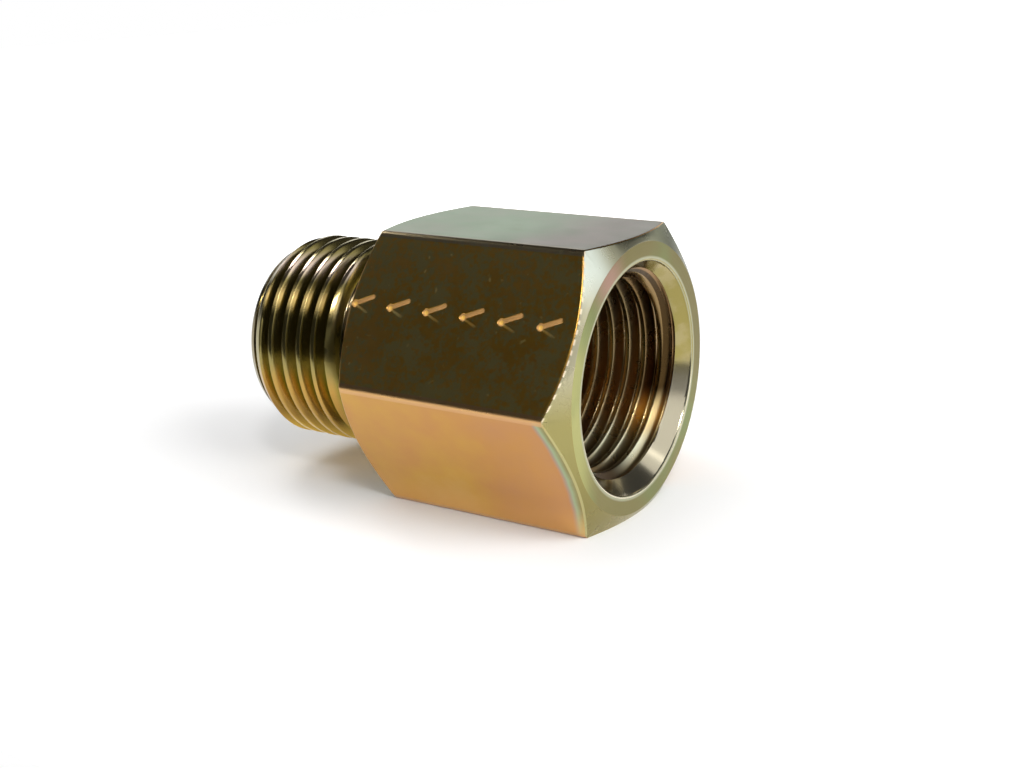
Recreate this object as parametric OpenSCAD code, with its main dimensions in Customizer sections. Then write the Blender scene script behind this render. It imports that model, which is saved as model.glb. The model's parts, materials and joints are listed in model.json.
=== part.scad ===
// Hydraulic adapter: a hexagon body with a threaded stud at one end and a threaded port in the other.
// It is turned and bored in one piece from hexagonal steel bar, and it lies on one flat of the hexagon.
// The axis runs along X, with the port's mouth at +X and the stud's tip at -X.

/* [Hexagon] */
// Width across the flats
hex_af = 27; // [25:0.5:36]
// Length of the hexagon between its two end faces
hex_len = 25; // [21:0.5:40]
// Radial distance from the flats in to the ring that the chamfer leaves on each end face
face_inset = 0.6; // [0.3:0.1:1]
// Slope of both end chamfers, in degrees from the end face
chamfer_slope = 30; // [15:1:40]
// Radial amount by which the bar's six long corners are trimmed
corner_trim = 0.1; // [0.05:0.01:0.4]

/* [Stud] */
// Major diameter of the stud's thread
stud_d = 20.955; // [19.5:0.005:23]
// Pitch of the stud's thread
stud_pitch = 1.814; // [1.25:0.001:2.1]
// Length of the stud from the hexagon's shoulder to the tip
stud_len = 15; // [12:0.5:22]
// Angle of the lead-in at the tip, in degrees from the axis
lead_in_slope = 30; // [20:1:45]
// Radial amount by which the tip lies below the thread's root
tip_drop = 0.2; // [0.1:0.05:0.5]
// Width of the floor of the relief groove between the thread and the shoulder
relief_w = 2; // [1.2:0.1:3]
// Radial amount by which the relief groove lies below the thread's root
relief_drop = 0.3; // [0.1:0.05:0.6]
// Radius of the fillet between the relief groove and the shoulder
relief_fillet = 0.8; // [0.3:0.1:1]

/* [Seat in the stud's tip] */
// Width of the flat rim round the seat
seat_rim = 0.9; // [0.4:0.1:1.5]
// Slope of the coned seat, in degrees from the axis
seat_slope = 30; // [25:1:45]

/* [Port] */
// Major diameter of the port's thread
port_d = 20.955; // [19:0.005:23]
// Pitch of the port's thread
port_pitch = 1.814; // [1.25:0.001:2.1]
// Depth of the port from the mouth to the end of its straight wall
port_depth = 17; // [13:0.5:18.5]
// Length of plain wall that the tap leaves at the port's inner end
port_plain = 1.5; // [1:0.1:2.5]
// Radial amount by which the countersink opens past the thread's major diameter
sink_over = 0.6; // [0.3:0.05:1]
// Slope of the countersink, in degrees from the axis
sink_slope = 38; // [30:1:50]
// Width of the broken edge round the mouth
mouth_edge = 0.2; // [0.1:0.05:0.35]
// Half angle of the drill point that ends the port
drill_half_angle = 59; // [50:1:70]

/* [Passage] */
// Diameter of the passage from the port to the seat
passage_d = 12; // [6:0.5:14]

/* [Hidden] */
$fn = 180;

// Height of a Whitworth-form thread for each millimetre of pitch
thread_height = 0.640327;
// Flat left on a thread's crest and root, for each millimetre of pitch
thread_flat = 1 / 6;
// Distance that a cut or a joined solid runs past the face it meets
overrun = 1;

x_mouth = (hex_len + stud_len) / 2;
x_shoulder = x_mouth - hex_len;
x_tip = x_shoulder - stud_len;

flat_r = hex_af / 2;
corner_r = hex_af / sqrt(3);
trimmed_r = corner_r - corner_trim;
face_r = flat_r - face_inset;
chamfer_len = (trimmed_r - face_r) * tan(chamfer_slope);

stud_r = stud_d / 2;
stud_root_r = stud_r - thread_height * stud_pitch;
tip_r = stud_root_r - tip_drop;
lead_in_len = (stud_r - tip_r) / tan(lead_in_slope);
relief_r = stud_root_r - relief_drop;
x_relief = x_shoulder - relief_fillet - relief_w;
x_thread_end = x_relief - (stud_r - relief_r);
stud_turns = ceil((x_thread_end - x_tip - lead_in_len) / stud_pitch);

passage_r = passage_d / 2;
seat_r = tip_r - seat_rim;
x_seat_end = x_tip + (seat_r - passage_r) / tan(seat_slope);

port_wall_r = port_d / 2 - thread_height * port_pitch;
sink_r = port_d / 2 + sink_over;
x_sink_end = x_mouth - mouth_edge - (sink_r - port_wall_r) / tan(sink_slope);
x_port_end = x_mouth - port_depth;
port_turns = floor((x_sink_end - x_port_end - port_plain) / port_pitch);
x_drill_end = x_port_end - (port_wall_r - passage_r) / tan(drill_half_angle);

// Turns a flat profile, given as [radius, x], about the X axis
module turned() {
    rotate([0, 90, 0])
        rotate_extrude()
            children();
}

// Hexagonal bar with a flat down, cut to length
module bar() {
    translate([x_shoulder, 0, 0])
        rotate([0, 90, 0])
            rotate([0, 0, 30])
                cylinder(h = hex_len, r = corner_r, $fn = 6);
}

// Both end chamfers and the trim of the long corners, as the envelope that the bar is turned to
module bar_envelope() {
    turned()
        polygon([
            [0, x_shoulder],
            [face_r, x_shoulder],
            [trimmed_r, x_shoulder + chamfer_len],
            [trimmed_r, x_mouth - chamfer_len],
            [face_r, x_mouth],
            [0, x_mouth]
        ]);
}

// Section of one thread groove, from the crests on either side of it down to its root
module thread_groove(crest_r, root_r, pitch) {
    half_root = pitch * thread_flat / 2;
    half_mouth = pitch * (1 - thread_flat) / 2;
    past = crest_r > root_r ? overrun : -overrun;
    polygon([
        [root_r, -half_root],
        [crest_r, -half_mouth],
        [crest_r + past, -half_mouth],
        [crest_r + past, half_mouth],
        [crest_r, half_mouth],
        [root_r, half_root]
    ]);
}

// The stud: lead-in at the tip, thread grooves, then the relief groove. The grooves are plain rings
// a pitch apart, which keeps every face of the turned stud exact.
module stud() {
    turned()
        difference() {
            polygon([
                [0, x_tip],
                [tip_r, x_tip],
                [stud_r, x_tip + lead_in_len],
                [stud_r, x_thread_end],
                [relief_r, x_relief],
                [relief_r, x_shoulder + overrun],
                [0, x_shoulder + overrun]
            ]);
            for (turn = [1 : stud_turns])
                translate([0, x_thread_end - (turn - 0.5) * stud_pitch])
                    thread_groove(stud_r, stud_root_r, stud_pitch);
        }
}

// The fillet that carries the relief groove up into the shoulder
module shoulder_fillet() {
    turned()
        translate([relief_r, x_shoulder - relief_fillet])
            difference() {
                square([relief_fillet, relief_fillet + overrun]);
                translate([relief_fillet, 0]) circle(r = relief_fillet);
            }
}

// The port at its tapping size, with the broken edge, the countersink and the drill point
module port() {
    turned()
        polygon([
            [0, x_drill_end],
            [passage_r, x_drill_end],
            [port_wall_r, x_port_end],
            [port_wall_r, x_sink_end],
            [sink_r, x_mouth - mouth_edge],
            [sink_r + mouth_edge, x_mouth],
            [sink_r + mouth_edge, x_mouth + overrun],
            [0, x_mouth + overrun]
        ]);
}

// The tapped grooves round the port, the outermost of them half lost in the countersink
module port_grooves() {
    turned()
        for (turn = [0 : port_turns])
            translate([0, x_sink_end - (turn - 0.5) * port_pitch])
                thread_groove(port_wall_r, port_d / 2, port_pitch);
}

// The passage and the coned seat that a mating tube's nose seals on
module passage_and_seat() {
    turned()
        polygon([
            [0, x_tip - overrun],
            [seat_r, x_tip - overrun],
            [seat_r, x_tip],
            [passage_r, x_seat_end],
            [passage_r, x_drill_end + overrun],
            [0, x_drill_end + overrun]
        ]);
}

module adapter_body() {
    color("darkgoldenrod")
        difference() {
            union() {
                intersection() {
                    bar();
                    bar_envelope();
                }
                stud();
                shoulder_fillet();
            }
            port();
            port_grooves();
            passage_and_seat();
        }
}

adapter_body();
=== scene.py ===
import json
import math

import bmesh
import bpy
from mathutils import Matrix, Vector


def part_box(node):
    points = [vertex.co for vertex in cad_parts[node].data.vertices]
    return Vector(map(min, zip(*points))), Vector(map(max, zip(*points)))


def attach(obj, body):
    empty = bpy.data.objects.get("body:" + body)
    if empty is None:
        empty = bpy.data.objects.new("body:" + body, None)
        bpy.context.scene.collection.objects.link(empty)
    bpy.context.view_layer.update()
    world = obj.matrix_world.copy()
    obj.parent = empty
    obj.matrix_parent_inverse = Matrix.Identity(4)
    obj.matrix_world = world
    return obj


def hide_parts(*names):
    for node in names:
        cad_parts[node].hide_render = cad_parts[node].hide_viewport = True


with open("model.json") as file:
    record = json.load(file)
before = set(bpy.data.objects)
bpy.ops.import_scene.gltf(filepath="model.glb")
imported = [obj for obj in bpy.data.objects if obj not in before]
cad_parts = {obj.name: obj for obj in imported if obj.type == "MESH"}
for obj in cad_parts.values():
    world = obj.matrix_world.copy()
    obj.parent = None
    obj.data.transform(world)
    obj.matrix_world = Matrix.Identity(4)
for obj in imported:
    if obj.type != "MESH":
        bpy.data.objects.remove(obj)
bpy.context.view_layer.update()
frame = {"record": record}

# The hexagon and the turned neck
# One piece of hexagonal steel bar. The lathe faces and chamfers both ends and turns the relief
# groove beside the shoulder; the six flats are the bar's own drawn surface.
MM = 0.001
TURN_STEPS = 192
mounts = {mount["name"]: mount for mount in frame["record"]["mounts"]}
low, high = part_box("adapter_body")
x_tip, x_mouth = low[0], high[0]
flat_r = high[2]
trimmed_r = high[1]
x_shoulder = mounts["stud_shoulder"]["pos_m"][0]
stud_r = mounts["stud_thread"]["dims"]["r_mm"] * MM
port_wall_r = mounts["port_thread"]["dims"]["r_mm"] * MM

box_clearance = 0.005 * MM
corner_r = trimmed_r - box_clearance
face_inset = 0.6 * MM
face_r = flat_r - face_inset
chamfer_slope = math.tan(math.radians(30))
chamfer_len = (trimmed_r - face_r) * chamfer_slope
relief_drop, relief_w, relief_fillet = 0.3 * MM, 2.0 * MM, 0.8 * MM
relief_r = port_wall_r - relief_drop
x_relief = x_shoulder - relief_fillet - relief_w
sink_over, mouth_edge = 0.6 * MM, 0.2 * MM
sink_r = stud_r + sink_over
# The mouth's rounding is a hair less than its edge, so that its arc starts clear of the point before.
mouth_round = mouth_edge * 0.999
broken_edge, rim_edge, long_edge = 0.15 * MM, 0.16 * MM, 0.07 * MM
smallest_flat = 200 * MM * MM


def softened(corners, steps=4):
    """A profile of (x, radius) points, from corners given as (x, radius, fillet radius)."""
    points = []
    for k, (x, r, fillet) in enumerate(corners):
        here = Vector((x, r))
        if not fillet:
            points.append(here)
            continue
        back = (Vector(corners[k - 1][:2]) - here).normalized()
        ahead = (Vector(corners[k + 1][:2]) - here).normalized()
        half = back.angle(ahead) / 2
        centre = here + (back + ahead).normalized() * fillet / math.sin(half)
        start = here + back * fillet / math.tan(half) - centre
        sweep = start.angle_signed(here + ahead * fillet / math.tan(half) - centre)
        for step in range(steps + 1):
            points.append(centre + Matrix.Rotation(-sweep * step / steps, 2) @ start)
    return [(point.x, point.y) for point in points]


def turned(mesh, profile, climb=0.0):
    """Spins a profile once round the X axis. With a climb it rises by that much, as a screw does."""
    verts = [mesh.verts.new((x, r, 0)) for x, r in profile]
    edges = [mesh.edges.new(pair) for pair in zip(verts, verts[1:])]
    bmesh.ops.spin(
        mesh, geom=verts + edges, cent=(0, 0, 0), axis=(1, 0, 0), dvec=(climb / TURN_STEPS, 0, 0),
        angle=math.tau, steps=TURN_STEPS, use_merge=not climb, use_duplicate=False)


def kept(mesh, name):
    """Stores a worked mesh and gives it back as an object in the scene."""
    data = bpy.data.meshes.new(name)
    mesh.to_mesh(data)
    mesh.free()
    item = bpy.data.objects.new(name, data)
    bpy.context.scene.collection.objects.link(item)
    return item


blank = bmesh.new()
turned(blank, softened([
    (x_mouth - mouth_edge, sink_r, 0),
    (x_mouth, sink_r, mouth_round),
    (x_mouth, face_r, broken_edge),
    (x_mouth - chamfer_len, corner_r, 0),
    (x_shoulder + chamfer_len, corner_r, 0),
    (x_shoulder, face_r, broken_edge),
    (x_shoulder, relief_r, relief_fillet),
    (x_relief, relief_r, 0),
]))
for k in range(6):
    facing = math.radians(30 + 60 * k)
    normal = Vector((0, math.cos(facing), math.sin(facing)))
    cut = bmesh.ops.bisect_plane(
        blank, geom=blank.verts[:] + blank.edges[:] + blank.faces[:], dist=1e-7,
        plane_co=normal * flat_r, plane_no=normal, clear_outer=True)
    rim = [item for item in cut["geom_cut"] if isinstance(item, bmesh.types.BMEdge)]
    bmesh.ops.edgeloop_fill(blank, edges=rim)
bmesh.ops.recalc_face_normals(blank, faces=blank.faces[:])
softness = blank.edges.layers.float.new("bevel_weight_edge")
for face in blank.faces:
    if face.calc_area() < smallest_flat:
        continue
    for rim in face.edges:
        runs_along = abs(rim.verts[0].co.x - rim.verts[1].co.x) > chamfer_len
        rim[softness] = long_edge / rim_edge if runs_along else 1

# The stamped chevrons
# A row of six arrow marks pressed into one flat, each with a round dot at its point. The upper
# stroke is the deeper one, and the lower stroke hardly bit into the bar.
mark_angle = math.radians(150)
along, across = Vector((1, 0, 0)), Vector((0, math.sin(mark_angle), -math.cos(mark_angle)))
outward = Vector((0, math.cos(mark_angle), math.sin(mark_angle)))
mark_count, mark_pitch = 6, 4.07 * MM
first_mark = -4.2 * MM
mark_rise = 0.5 * MM
stroke_slope = math.radians(24)


def pressed(mesh, centre, length, slope, width, depth):
    """A round-ended punch whose imprint in the flat has this length, slope, width and depth."""
    punch_r = (width * width / 4 + depth * depth) / (2 * depth)
    heading = math.cos(slope) * along + math.sin(slope) * across
    made = bmesh.ops.create_uvsphere(mesh, u_segments=24, v_segments=12, radius=punch_r)["verts"]
    if length:
        faces = {face for vert in made for face in vert.link_faces}
        cap = [face for face in faces if face.calc_center_median().z > 0]
        pulled = bmesh.ops.extrude_face_region(mesh, geom=cap)["geom"]
        ends = [item for item in pulled if isinstance(item, bmesh.types.BMVert)]
        bmesh.ops.delete(mesh, geom=cap, context="FACES")
        bmesh.ops.translate(mesh, verts=ends, vec=(0, 0, length))
        made = [vert for vert in made if vert.is_valid] + ends
    place = Matrix((outward.cross(heading), outward, heading)).transposed().to_4x4()
    place.translation = centre + outward * (punch_r - depth)
    bmesh.ops.transform(mesh, verts=made, matrix=place)


def stamped(item, name, length, slope, width, depth):
    """Presses one row of punches into the flat, and gives the punches back."""
    row = bmesh.new()
    for k in range(mark_count):
        point = along * (first_mark + mark_pitch * k) + across * mark_rise + outward * flat_r
        pressed(row, point, length, slope, width, depth)
    punches = kept(row, name)
    press = item.modifiers.new(name, "BOOLEAN")
    press.operation = "DIFFERENCE"
    press.solver = "EXACT"
    press.object = punches
    return punches


# A boolean needs a closed solid, so both ends of the blank are closed for the stamping.
open_rings = [rim for rim in blank.edges if rim.is_boundary]
bmesh.ops.edgeloop_fill(blank, edges=open_rings)
bmesh.ops.recalc_face_normals(blank, faces=blank.faces[:])
bar = kept(blank, "bar")
rounded = bar.modifiers.new("rounded_edges", "BEVEL")
rounded.limit_method = "WEIGHT"
rounded.width = rim_edge
rounded.segments = 3
rounded.use_clamp_overlap = False
punch_rows = [
    stamped(bar, "upper_strokes",
            length=2.05 * MM, slope=stroke_slope, width=0.48 * MM, depth=0.09 * MM),
    stamped(bar, "lower_strokes",
            length=1.6 * MM, slope=-stroke_slope, width=0.42 * MM, depth=0.032 * MM),
    stamped(bar, "dots", length=0, slope=0, width=0.8 * MM, depth=0.15 * MM),
]
body = bmesh.new()
body.from_object(bar, bpy.context.evaluated_depsgraph_get())
for item in (bar, *punch_rows):
    bpy.data.objects.remove(item)
end_caps = [face for face in body.faces if len(face.verts) == TURN_STEPS]
bmesh.ops.delete(body, geom=end_caps, context="FACES_ONLY")

# The stud's thread
# Cut on the lathe: a right-hand parallel thread with narrow flat crests and rounded roots.
# It starts on the lead-in cone at the tip and runs out into the relief groove.
height_per_pitch = 0.640327
pitch = (stud_r - port_wall_r) / height_per_pitch
flank = math.radians(27.5)
root_round, crest_round = 0.15 * MM, 0.1 * MM
lead_in = math.tan(math.radians(30))
tip_drop, tip_wall = 0.2 * MM, 0.3 * MM
tip_r = port_wall_r - tip_drop
x_lead = x_tip + tip_wall
x_stud_crest = -13.58 * MM
weld_gap = 0.0005 * MM


def thread_form(root_r, crest_r, steps=3, flank_steps=5):
    """One pitch of a thread form, from root to root, as (x, radius) points."""
    out = math.copysign(1, crest_r - root_r)
    sweep = math.pi / 2 - flank
    rounds = root_round + crest_round
    flank_rise = abs(crest_r - root_r) - rounds * (1 - math.cos(sweep))
    half_crest = pitch / 2 - rounds * math.sin(sweep) - flank_rise * math.tan(flank)
    angles = [sweep * step / steps for step in range(steps + 1)]
    root = [(root_round * math.sin(a), root_r + out * root_round * (1 - math.cos(a)))
            for a in angles]
    crest = [(pitch / 2 - half_crest - crest_round * math.sin(a),
              crest_r - out * crest_round * (1 - math.cos(a))) for a in reversed(angles)]
    foot, top = Vector(root[-1]), Vector(crest[0])
    side = [tuple(foot.lerp(top, step / flank_steps)) for step in range(1, flank_steps)]
    rise = root + side + crest
    return rise + [(pitch - x, r) for x, r in reversed(rise)]


def screwed(mesh, form, x_crest, x_from, x_to, limit):
    """Winds a thread form from x_from to x_to, each point held to the radius that limit gives."""
    start = x_crest - pitch / 2
    start -= math.ceil((start - x_from) / pitch + 1) * pitch
    thread = bmesh.new()
    turned(thread, [(start + x, r) for x, r in form], pitch)
    turn = thread.verts[:] + thread.edges[:] + thread.faces[:]
    for _ in range(math.ceil((x_to - start) / pitch)):
        turn = bmesh.ops.duplicate(thread, geom=turn)["geom"]
        moved = [item for item in turn if isinstance(item, bmesh.types.BMVert)]
        bmesh.ops.translate(thread, verts=moved, vec=(pitch, 0, 0))
    for vert in thread.verts:
        x = min(max(vert.co.x, x_from), x_to)
        r = math.hypot(vert.co.y, vert.co.z)
        grow = limit(x, r) / r
        vert.co = (x, vert.co.y * grow, vert.co.z * grow)
    bmesh.ops.remove_doubles(thread, verts=thread.verts[:], dist=weld_gap)
    wound = bpy.data.meshes.new("wound")
    thread.to_mesh(wound)
    thread.free()
    mesh.from_mesh(wound)
    bpy.data.meshes.remove(wound)


screwed(
    body, thread_form(port_wall_r, stud_r), x_stud_crest, x_lead, x_relief,
    lambda x, r: min(r, tip_r + (x - x_tip) * lead_in, relief_r + (x_relief - x)))

# The port
# Bored to the tapping size, opened by a steep countersink and tapped with the same thread, which
# starts on the countersink and runs out at the bottom of the bore.
port_depth = 17.0 * MM
x_port_end = x_mouth - port_depth
x_sink = x_mouth - mouth_edge
sink = math.tan(math.radians(38))
run_out = 0.4
x_port_crest = 13.7 * MM
screwed(
    body, thread_form(stud_r, port_wall_r), x_port_crest, x_port_end, x_sink,
    lambda x, r: max(min(r, port_wall_r + (x - x_port_end) * run_out),
                     sink_r - (x_sink - x) * sink))

# The passage and the seat
# The drill point leads from the port into a plain passage. It ends in the coned seat in the
# stud's tip, which a tube's nose seals on.
passage_r = 6.0 * MM
seat_rim = 0.9 * MM
seat_r = tip_r - seat_rim
seat = math.tan(math.radians(30))
drill = math.tan(math.radians(59))
sharp_from = math.radians(32)
turned(body, softened([
    (x_port_end, port_wall_r, 0),
    (x_port_end - (port_wall_r - passage_r) / drill, passage_r, broken_edge),
    (x_tip + (seat_r - passage_r) / seat, passage_r, broken_edge),
    (x_tip, seat_r, broken_edge),
    (x_tip, tip_r, broken_edge),
    (x_lead, tip_r + (x_lead - x_tip) * lead_in, 0),
]))
bmesh.ops.remove_doubles(body, verts=body.verts[:], dist=weld_gap)
bmesh.ops.recalc_face_normals(body, faces=body.faces[:])
for face in body.faces:
    face.smooth = True
fitting = kept(body, "plated_body")
fitting.data.set_sharp_from_angle(angle=sharp_from)
level = fitting.modifiers.new("level_flats", "WEIGHTED_NORMAL")
level.keep_sharp = True
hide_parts("adapter_body")
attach(fitting, "root")

# The plating
# Zinc plate under a yellow chromate film. The film's thickness shifts its colour from straw
# through gold and copper to green. Over it, coat by coat, lie the tones of each turned part,
# edge and mark; many of these coats are painted reflections, highlights and shade, set by place.


class Value:
    """A shader socket that takes part in plain arithmetic; each step adds one Math node."""

    def __init__(self, finish, socket):
        self.finish, self.socket = finish, socket

    def __add__(self, other):
        return self.finish.math("ADD", self, other)

    def __sub__(self, other):
        return self.finish.math("SUBTRACT", self, other)

    def __rsub__(self, other):
        return self.finish.math("SUBTRACT", other, self)

    def __mul__(self, other):
        return self.finish.math("MULTIPLY", self, other)

    def __truediv__(self, other):
        return self.finish.math("DIVIDE", self, other)

    def __rtruediv__(self, other):
        return self.finish.math("DIVIDE", other, self)

    __radd__, __rmul__ = __add__, __mul__

    def step(self, start, end):
        """Rises smoothly from 0 at start to 1 at end."""
        return self.finish.node(
            "ShaderNodeMapRange", {"interpolation_type": "SMOOTHSTEP"},
            {"Value": self, "From Min": start, "From Max": end})

    def fall(self, start, end):
        """Falls smoothly from 1 at start to 0 at end."""
        return 1 - self.step(start, end)

    def near(self, centre, reach):
        """1 at the centre value, falling smoothly to 0 one reach away."""
        return self.finish.math("ABSOLUTE", self - centre).fall(0, reach)


class Finish:
    """The nodes of one material, or of the room's own light, ending in a named shader."""

    def __init__(self, owner, shader):
        owner.use_nodes = True
        self.tree = owner.node_tree
        self.shader = self.tree.nodes[shader]

    def feed(self, slots, inputs):
        """Gives sockets their numbers, colours or links."""
        for key, item in inputs.items():
            if isinstance(item, Value):
                self.tree.links.new(slots[key], item.socket)
            else:
                slots[key].default_value = item

    def node(self, kind, settings, inputs, output=0):
        """Adds one node: first its settings, then what its sockets take."""
        made = self.tree.nodes.new(kind)
        for key, setting in settings.items():
            if key == "stops":
                elements = made.color_ramp.elements
                for position, _ in setting[1:-1]:
                    elements.new(position)
                for element, (position, tone) in zip(elements, setting):
                    element.position, element.color = position, (*tone, 1)
            else:
                setattr(made, key, setting)
        self.feed(made.inputs, inputs)
        return Value(self, made.outputs[output])

    def math(self, operation, *inputs):
        return self.node("ShaderNodeMath", {"operation": operation}, dict(enumerate(inputs)))

    def length(self, first, second):
        """The long side of a right triangle with these two short sides."""
        return self.math("SQRT", first * first + second * second)

    def split(self, vector):
        """The X, Y and Z of a vector."""
        whole = self.node("ShaderNodeSeparateXYZ", {}, {0: vector})
        return [Value(self, socket) for socket in whole.socket.node.outputs]

    def noise(self, where, scale, detail, roughness=0.5):
        return self.node(
            "ShaderNodeTexNoise", {},
            {"Vector": where, "Scale": scale, "Detail": detail, "Roughness": roughness}, "Fac")

    def coated(self, tone, *coats):
        """A tone under one coat after another, each given as its share of the surface and its tone."""
        for share, coat in coats:
            first, second = ((*each, 1) if isinstance(each, tuple) else each for each in (tone, coat))
            tone = self.node(
                "ShaderNodeMix", {"data_type": "RGBA"}, {0: share, 6: first, 7: second}, 2)
        return tone


# From here on places are in millimetres: x, y, z and radius from the fitting's centre, and along
# the axis from the port's mouth or the shoulder. lean_x, lean_y and lean_z say which way the
# surface faces.
zinc = bpy.data.materials.new("yellow_passivated_zinc")
plate = Finish(zinc, "Principled BSDF")
place = plate.node("ShaderNodeTexCoord", {}, {}, "Object")
lean = plate.node("ShaderNodeTexCoord", {}, {}, "Normal")
x, y, z = (side / MM for side in plate.split(place))
lean_x, lean_y, lean_z = plate.split(lean)
radius = plate.length(y, z)
around = plate.math("ARCTAN2", z, y)
from_mouth, from_shoulder = x_mouth / MM - x, x_shoulder / MM - x
past_wall, past_sink = radius - port_wall_r / MM, radius - sink_r / MM

outside = past_sink.step(0.32, 0.52)


def flat_facing(angle):
    """1 on the flat that faces this way round the axis, and 0 on the rest of the fitting."""
    return (lean_y * math.cos(angle) + lean_z * math.sin(angle)).step(0.9, 0.97) * outside


top_flat = flat_facing(math.radians(90))
marked_flat = flat_facing(mark_angle)
lower_flat = flat_facing(math.radians(210))
other_faces = 1 - plate.math("MINIMUM", top_flat + lower_flat + marked_flat, 1)
end_on = lean_x.step(0.6, 0.75)
mouth_face = lean_x.step(0.95, 0.99)
shoulder_face = lean_x.fall(-0.75, -0.6)
chamfer = end_on * (1 - mouth_face) * outside
on_stud = from_shoulder.step(0, 0.3)
in_port = (1 - outside) * from_mouth.fall(17, 18)
off_sink = plate.math("ABSOLUTE", past_sink + (from_mouth - mouth_edge / MM) * sink)
sink_face = in_port * off_sink.fall(0.02, 0.06) * from_mouth.fall(2.2, 2.6)
flat_drop = flat_r / MM - (y * outward.y + z * outward.z)
off_chamfer = (from_mouth - (radius - face_r / MM) * chamfer_slope).step(0.1, 1.6)

broad = plate.noise(place, scale=90, detail=2)
cloud = plate.noise(place, scale=420, detail=3)
fleck = plate.noise(place, scale=1100, detail=3, roughness=0.6)
mottle = plate.noise(place, scale=1600, detail=4, roughness=0.6)
speck = plate.noise(place, scale=1200, detail=1)
drawn = plate.node("ShaderNodeMapping", {}, {"Vector": place, "Scale": (60, 1500, 1500)})
streak = plate.noise(drawn, scale=1, detail=4, roughness=0.6)

# The film on the bar's own surface: how thick it is, and the colour that each thickness has.
top_film = 0.81 - from_mouth.fall(4, 13) * 0.1
thin_patch = from_mouth.near(16, 9) * z.near(-13, 8)
lower_film = 0.42 - thin_patch * 0.2 + from_mouth.fall(7, 14) * 0.06 + (1 - off_chamfer) * 0.5
marked_film, other_film = 0.26, 0.35
drift = ((broad - 0.5) * 0.35 + (cloud - 0.5) * 0.16) * (1 - top_flat * 0.5)
film = drift + top_flat * top_film + lower_flat * lower_film
film = film + marked_flat * marked_film + other_faces * other_film
film_tone = plate.node("ShaderNodeValToRGB", {"stops": [
    (0.0, (0.73, 0.6, 0.3)),
    (0.15, (0.68, 0.43, 0.13)),
    (0.3, (0.61, 0.35, 0.05)),
    (0.42, (0.56, 0.27, 0.07)),
    (0.55, (0.53, 0.25, 0.11)),
    (0.68, (0.36, 0.3, 0.25)),
    (0.82, (0.31, 0.43, 0.27)),
    (1.0, (0.27, 0.24, 0.09)),
]}, {"Fac": film}, "Color")
green_mottle = marked_flat * (cloud * 0.45 + mottle * 0.55).step(0.42, 0.58) * 0.85
gold_speck = marked_flat * speck.step(0.7, 0.8) * 0.7
# Painted light: the foot of the lower flat is painted bright orange, as the lit sheet mirrored in it.
painted_light_foot = lower_flat * z.fall(-13.4, -9) * 0.5
# The lower flat is darker away from the chamfer's rim.
lower_flat_darker = lower_flat * off_chamfer * 0.3
# Painted shade: the top flat is painted darker towards the port's end.
painted_shade_top = top_flat * from_mouth.fall(1, 15) * 0.5
colour = plate.coated(
    film_tone,
    (green_mottle, (0.5, 0.43, 0.17)),
    (gold_speck, (1.0, 0.8, 0.3)),
    (painted_light_foot, (0.95, 0.52, 0.14)),
    (lower_flat_darker, (0.42, 0.26, 0.1)))

# The port's end: the turned chamfer, with painted reflections that make it palest near its top,
# and the flat ring in it.
chamfer_painted_reflection = plate.coated(
    (0.26, 0.22, 0.075),
    (z.step(-13, -2), (0.33, 0.29, 0.11)),
    (z.step(-1, 5), (0.43, 0.4, 0.27)),
    (z.step(8, 12), (0.73, 0.79, 0.69)),
    (y.step(-7.5, -4.5) * z.step(6, 9), (0.42, 0.41, 0.28)),
    (y.step(-1, 5), (0.2, 0.21, 0.11)))
pink_spot = plate.length(y + 6, z - 10.5).near(0, 4)
face_tone = plate.coated(
    (0.24, 0.21, 0.075),
    (z.step(-12, 2), (0.2, 0.17, 0.06)),
    (y.fall(-12, -8), (0.42, 0.41, 0.15)),
    (broad.step(0.5, 0.65) * 0.7, (0.2, 0.25, 0.09)),
    (pink_spot, (0.38, 0.23, 0.17)))

# The stud: dark roots and coppery crests, with painted shade over the upper half and a painted
# golden reflection underneath, painted highlights on the crests above, a darker lead-in at the tip,
# painted shade in the neck and a painted sparkle beside the shoulder.
thread_crest = past_wall.step(0.1, 0.9)
above_middle = z.step(-3, 0)
# Painted highlight: a pale line along the crests high on the stud.
painted_crest_highlight = thread_crest.step(0.5, 1.0) * z.near(8.6, 1.3)
# Painted highlight: a golden glint along the crests, made less metallic so that the lamps light it.
painted_crest_glint = thread_crest.step(0.85, 1.0) * z.near(5.9, 1.7)
# Painted shade: the upper half of the relief groove is painted nearly black.
neck = from_shoulder.fall(3.0, 3.6) * above_middle
# Painted highlight: a bright sparkle on the stud beside the shoulder, with small nicks bumped in.
painted_sparkle = from_shoulder.near(3.0, 1.3) * z.near(5.4, 2.4)
in_seat = (radius - seat_r / MM).fall(0.08, 0.38)
stud_tone = plate.coated(
    (0.17, 0.2, 0.03),
    (thread_crest, (0.46, 0.28, 0.07)),
    # Painted shade: the upper half of the stud is painted dark olive.
    (above_middle, (0.3, 0.25, 0.09)),
    # Painted reflection: the underside is painted bright gold, as the lit sheet mirrored in it.
    (z.fall(-9.5, -6), (0.88, 0.62, 0.13)),
    (painted_crest_highlight, (0.75, 0.6, 0.48)),
    (painted_crest_glint, (1.0, 0.74, 0.28)),
    (from_shoulder.step(13.5, 13.9), (0.2, 0.15, 0.05)),
    (neck, (0.1, 0.085, 0.03)),
    (painted_sparkle, (1.0, 0.78, 0.45)),
    (in_seat, (0.42, 0.33, 0.15)))
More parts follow.
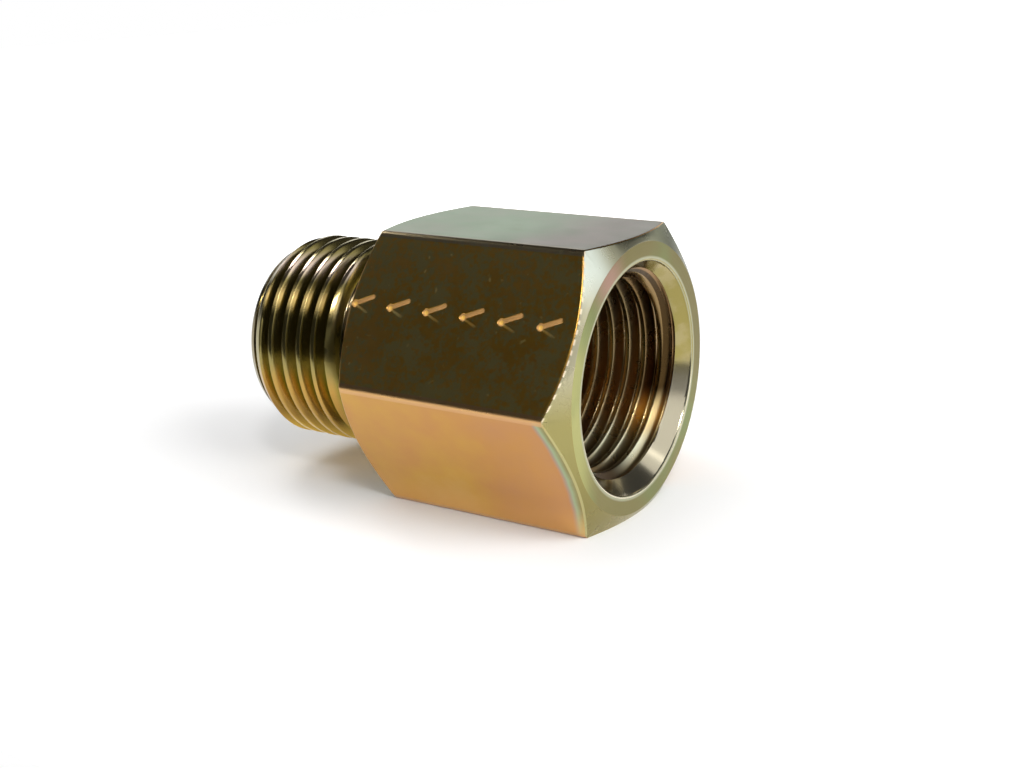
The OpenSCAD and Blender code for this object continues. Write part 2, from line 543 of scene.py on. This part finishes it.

# The port's thread: brown on its far wall, with roots painted lighter against their shade, darker
# near the mouth, painted highlight lines along the roots, painted light on its floor, a painted golden
# glint and mint crests low down, and a painted shadow, nearly black, in the first groove behind the
# countersink, whose ring is painted pale below as a reflection and olive above, with painted shade
# on its inner part.
groove_depth = past_wall.step(0.1, 1.0)
# Painted highlight: pale lines along the roots on the upper wall near the mouth.
painted_root_highlight = past_wall.step(0.95, 1.1) * z.step(-2, 1) * from_mouth.fall(6, 9)
wound_from_mouth = from_mouth + around * (pitch / MM / math.tau)
# Painted shadow: the first groove behind the countersink is nearly black, its floor brown.
painted_groove_shadow = plate.coated((0.06, 0.035, 0.012), (groove_depth.step(0.9, 1.0), (0.3, 0.18, 0.08)))
# Painted light: the bottom of the bore near the mouth is painted pale, darker in the roots.
painted_floor_light = plate.coated((0.8, 0.78, 0.56), (groove_depth, (0.46, 0.38, 0.21)))
painted_light_share = z.fall(-8.2, -6.0) * y.step(-1, 5) * from_mouth.fall(6.5, 10)
# Painted highlight: a golden glint low on the far wall near the mouth.
painted_port_glint = from_mouth.fall(4.2, 5.8) * z.near(-6.0, 2.6) * y.step(3.5, 6)
mint_crest = (1 - groove_depth) * y.fall(-3, 1) * z.fall(-3, 1) * z.step(-9, -7.5)
bore_tone = plate.coated(
    (0.3, 0.22, 0.11),
    # Painted light: the roots are painted lighter than the crests, against the shade that falls in
    # them.
    (groove_depth, (0.4, 0.29, 0.15)),
    (from_mouth.fall(3.5, 5.5), (0.2, 0.12, 0.045)),
    (painted_root_highlight, (0.85, 0.62, 0.36)),
    (wound_from_mouth.fall(2.5, 2.65), painted_groove_shadow),
    (painted_light_share, painted_floor_light),
    (painted_port_glint, (1.0, 0.76, 0.36)),
    (mint_crest, (0.5, 0.66, 0.42)),
    (past_sink.step(-0.08, 0.02), (0.42, 0.42, 0.28)))
inner_cone = past_wall.fall(0.58, 0.78) * z.step(-4, -1)
sink_cloud = plate.coated((0.31, 0.26, 0.085), (cloud.step(0.45, 0.65), (0.37, 0.31, 0.14)))
# Painted reflection and shade: the countersink is pale below, cloudy olive above, darker on its upper
# inner part.
sink_reflection_and_shade = plate.coated(
    (0.75, 0.68, 0.5),
    (z.step(-3.5, -0.5), sink_cloud),
    (inner_cone, (0.27, 0.18, 0.08)))

# Edges and marks: the corners of the bar under painted shade, deeper on the upper ones, the
# rounded rims of the flats, the stamped marks with a painted highlight in their deepest parts, and
# the fine beads along the chamfer's rim, which carry a painted highlight.
arris = (radius - corner_r / MM + 0.2).step(0, 0.08) * (1 - end_on) * outside
# Painted shade: the bar's corners are toned down to dim their reflections, more on the upper ones.
arris_painted_shade = plate.coated((0.6, 0.36, 0.17), (z.step(0, 3), (0.42, 0.36, 0.24)))
rim_round = outside * lean_x.step(0.05, 0.15) * lean_x.fall(0.75, 0.82) * z.fall(-2, 2)
in_row = from_shoulder.fall(-0.3, -0.1) * from_mouth.step(1.8, 2.0)
in_row = in_row * z.step(4, 5) * z.fall(10.5, 11)
in_mark = in_row * flat_drop.step(0.02, 0.05) * flat_drop.fall(0.2, 0.25)
# The marks' own tan, with a painted highlight, bright gold, in their deepest parts.
mark_tone_and_highlight = plate.coated((0.6, 0.33, 0.11), (flat_drop.step(0.09, 0.12), (1.0, 0.6, 0.13)))
beads = plate.math("SINE", around * 90.0 + streak * 4).step(-0.3, 0.5)
beads = beads * chamfer * flat_drop.fall(0.1, 0.3) * z.step(-2, 2)
colour = plate.coated(
    colour,
    (chamfer, chamfer_painted_reflection),
    (mouth_face, face_tone),
    (shoulder_face, (0.24, 0.2, 0.08)),
    (painted_shade_top, (0.18, 0.18, 0.14)),
    (on_stud, stud_tone),
    (in_port, bore_tone),
    (sink_face, sink_reflection_and_shade),
    (arris * 0.8, arris_painted_shade),
    (rim_round, (0.45, 0.41, 0.19)),
    (in_mark, mark_tone_and_highlight),
    # Painted highlight: the beads along the chamfer's rim are painted pale gold.
    (beads, (1.0, 0.85, 0.62)))

roughness = 0.24 + cloud * 0.08 + (marked_flat + top_flat + lower_flat) * 0.1 + in_mark * 0.25
roughness = roughness - on_stud * 0.08 - sink_face * 0.12 + mouth_face * 0.1
tool_rings = plate.math("SINE", radius * 18.0 + cloud * 2.0) * end_on * outside
bar_grain = (streak * 0.3 + fleck * 0.15) * outside * (1 - end_on)
nicks = painted_sparkle * on_stud * fleck
relief = tool_rings * 0.1 + bar_grain + beads + nicks * 5
bump = plate.node("ShaderNodeBump", {}, {"Strength": 0.12, "Distance": 0.1 * MM, "Height": relief})
plate.feed(plate.shader.inputs, {
    "Base Color": colour,
    "Metallic": 1 - in_mark * 0.7 - painted_crest_glint * on_stud * 0.5,
    "Roughness": roughness,
    "Normal": bump,
})
fitting.data.materials.append(zinc)

# The white sheet
# A sheet of matt white paper that the fitting lies on. The camera sees it as plain white away
# from the fitting, and close by it keeps the fitting's own soft shadow.
sheet_front, sheet_reach = -0.06, 0.7
paper_white = (0.9, 0.9, 0.9, 1)
shadow_reach, clear_reach = 0.06, 0.2
glow_in_shadow, glow_in_metal = 0.05, 0.2
sheet = bmesh.new()
bmesh.ops.create_grid(sheet, x_segments=1, y_segments=1, size=sheet_reach)
bmesh.ops.translate(sheet, verts=sheet.verts[:], vec=(0, sheet_front + sheet_reach, low[2]))
floor = kept(sheet, "sheet")
white_paper = bpy.data.materials.new("white_paper")
paper = Finish(white_paper, "Principled BSDF")
seen_by_camera = paper.node("ShaderNodeLightPath", {}, {}, "Is Camera Ray")
seen_in_metal = paper.node("ShaderNodeLightPath", {}, {}, "Is Glossy Ray")
paper_place = paper.node("ShaderNodeTexCoord", {}, {}, "Object")
away = paper.node("ShaderNodeVectorMath", {"operation": "LENGTH"}, {0: paper_place}, "Value")
own_glow = away.step(shadow_reach, clear_reach) + glow_in_shadow
paper.feed(paper.shader.inputs, {
    "Base Color": paper_white,
    "Roughness": 1.0,
    "Specular IOR Level": 0.0,
    "Emission Strength": 1.0,
    "Emission Color": seen_by_camera * own_glow + seen_in_metal * glow_in_metal,
})
floor.data.materials.append(white_paper)

# The room and its lamps
# A dim room, which the camera alone sees as white, with soft boxes and white cards that the
# plating mirrors as its bright patches. Four more lamps, which it doesn't mirror, light the sheet.
room_light = 0.045
world = bpy.data.worlds.new("room")
bpy.context.scene.world = world
room = Finish(world, "Background")
seen = room.node("ShaderNodeLightPath", {}, {}, "Is Camera Ray")
room.feed(room.shader.inputs, {
    "Color": (1, 1, 1, 1),
    "Strength": seen * (1 - room_light) + room_light,
})


def lamp(name, direction, distance, width, height, radiance):
    """A soft box that faces the fitting, every point of its face at the same radiance."""
    data = bpy.data.lights.new(name, "AREA")
    data.shape = "RECTANGLE"
    data.size, data.size_y = width, height
    data.energy = radiance * math.pi * width * height
    item = bpy.data.objects.new(name, data)
    bpy.context.scene.collection.objects.link(item)
    aim = Vector(direction).normalized()
    item.location = aim * distance
    item.rotation_euler = aim.to_track_quat("Z", "Y").to_euler()
    return item


for name, direction, distance, width, height, radiance in (
        ("key_box", (0.45, -0.53, 0.71), 0.7, 0.1, 0.1, 32),
        ("mouth_box", (0.773, -0.135, 0.62), 0.75, 0.64, 0.64, 0.72),
        ("back_box", (0.82, 0.42, 0.38), 0.8, 0.5, 0.4, 1.05),
        ("side_card", (1, -0.05, 0.12), 0.6, 0.5, 0.3, 0.8),
        ("rear_sweep", (-0.5, 0.83, 0.22), 0.9, 1.2, 0.3, 1.4),
        ("rear_card", (0.38, 0.92, 0.14), 0.8, 0.4, 0.2, 1.1),
        ("far_card", (0.53, 0.33, 0.79), 0.75, 0.25, 0.25, 0.72),
        ("low_card", (0.775, -0.6, 0.12), 0.75, 0.3, 0.32, 0.2)):
    lamp(name, direction, distance, width, height, radiance)
overhead_distance = 0.7
for name, direction, size, radiance in (
        ("right_overhead", (0.82, -0.1, 0.55), 0.45, 5.8),
        ("left_overhead", (-0.4, -0.05, 0.9), 0.6, 1.35),
        ("front_overhead", (0.05, -0.62, 0.78), 0.6, 0.95),
        ("ceiling", (-0.08, -0.05, 1), 1.2, 0.1)):
    lamp(name, direction, overhead_distance, size, size, radiance).visible_glossy = False
window = lamp("window", (-0.639, 0.199, 0.743), 0.06, 0.016, 0.022, 8)
window_shift = Vector((-15, -5.2, 9)) * MM
window.location += window_shift

# The camera
# It stands to the right of the fitting and a little above it, as in the photograph, with the
# port's end and the marked flat towards it. Its place was fitted to the hexagon's corners.
stand = Vector((79.742, -115.363, 38.557)) * MM
turn, tilt, roll = math.radians(32.68), math.radians(16.65), math.radians(1.48)
camera_data = bpy.data.cameras.new("camera")
camera_data.sensor_width = 36
camera_data.lens = 50.896
camera_data.clip_start = 0.01
camera = bpy.data.objects.new("camera", camera_data)
bpy.context.scene.collection.objects.link(camera)
bpy.context.scene.camera = camera
view = Vector((-math.sin(turn) * math.cos(tilt), math.cos(turn) * math.cos(tilt), -math.sin(tilt)))
level_right = Vector((math.cos(turn), math.sin(turn), 0))
level_down = view.cross(level_right)
image_right = math.cos(roll) * level_right + math.sin(roll) * level_down
image_down = -math.sin(roll) * level_right + math.cos(roll) * level_down
axes = Matrix((image_right, -image_down, -view)).transposed().to_4x4()
camera.matrix_world = Matrix.Translation(stand) @ axes

bpy.context.scene.view_settings.view_transform = "Standard"
